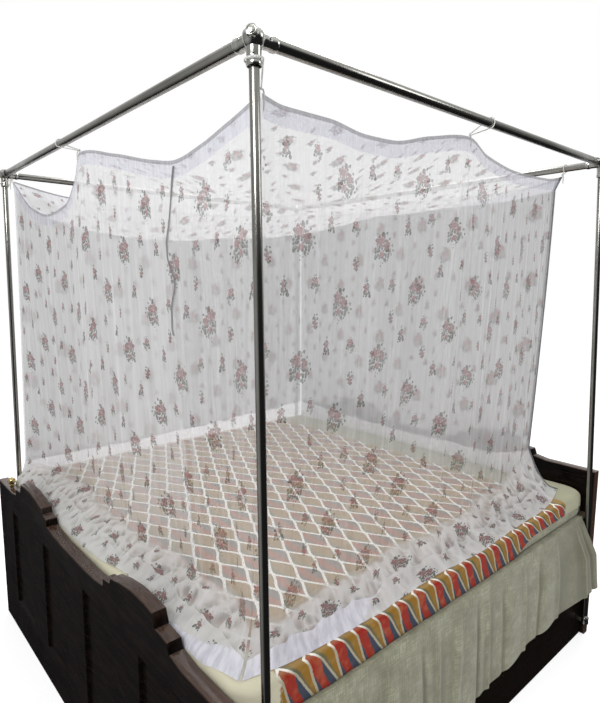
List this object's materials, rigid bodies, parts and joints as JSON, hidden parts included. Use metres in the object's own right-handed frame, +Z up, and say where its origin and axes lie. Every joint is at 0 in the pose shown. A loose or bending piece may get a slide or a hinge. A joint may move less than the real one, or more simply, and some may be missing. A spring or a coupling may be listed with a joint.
{
  "type": "box mosquito net on a tube frame over a box bed",
  "caption": "Sheer box-shaped bed net tied up inside a steel tube frame, sagging between its ties, its hem lying on the spread of a dark wood box bed.",
  "frame": {"origin": "on the floor, in the middle of the bed", "axes": "+X from the foot board to the head board, +Z up, the near long side of the bed at -Y"},
  "size_m": [2.005, 2.0635, 2.139],
  "materials": {
    "steel_tube": "bright drawn tube",
    "chrome_fitting": "polished",
    "dark_wood": "dark brown gloss varnish",
    "ply": "bare ply",
    "ticking": "plain cotton ticking",
    "olive_cotton": "plain pale olive cotton",
    "printed_cotton": "cotton printed with rows of pointed ovals in red, ochre and slate",
    "brass": "worn",
    "grey_binding": "grey binding tape",
    "white_band": "plain white woven band",
    "printed_net": "sheer white polyester net with small rose print",
    "white_cord": "white cord"
  },
  "bodies": {
    "root": {"post_near": "steel_tube", "fitting_near": "chrome_fitting", "foot_near": "chrome_fitting", "post_right": "steel_tube", "fitting_right": "chrome_fitting", "foot_right": "chrome_fitting", "post_left": "steel_tube", "fitting_left": "chrome_fitting", "foot_left": "chrome_fitting", "post_far": "steel_tube", "fitting_far": "chrome_fitting", "foot_far": "chrome_fitting", "rail_near_right": "steel_tube", "rail_near_left": "steel_tube", "rail_left_far": "steel_tube", "rail_right_far": "steel_tube", "foot_board": "dark_wood", "head_board": "dark_wood", "side_panel_near": "dark_wood", "side_panel_far": "dark_wood", "bed_base": "ply", "mattress": "ticking", "under_sheet": "olive_cotton", "bedspread": "printed_cotton", "crest_knob": "brass", "binding_near": "grey_binding", "heading_near": "white_band", "wall_near": "printed_net", "hem_near": "white_band", "binding_head": "grey_binding", "heading_head": "white_band", "wall_head": "printed_net", "hem_head": "white_band", "binding_far": "grey_binding", "heading_far": "white_band", "wall_far": "printed_net", "hem_far": "white_band", "binding_foot": "grey_binding", "heading_foot": "white_band", "wall_foot": "printed_net", "hem_foot": "white_band", "corner_binding_near": "grey_binding", "corner_binding_right": "grey_binding", "corner_binding_left": "grey_binding", "corner_binding_far": "grey_binding", "roof": "printed_net", "tie_near": "white_cord", "tie_near_mid": "white_cord", "tie_right": "white_cord", "tie_far": "white_cord", "tie_left": "white_cord", "tie_foot_mid": "white_cord"}
  },
  "joints": []
}
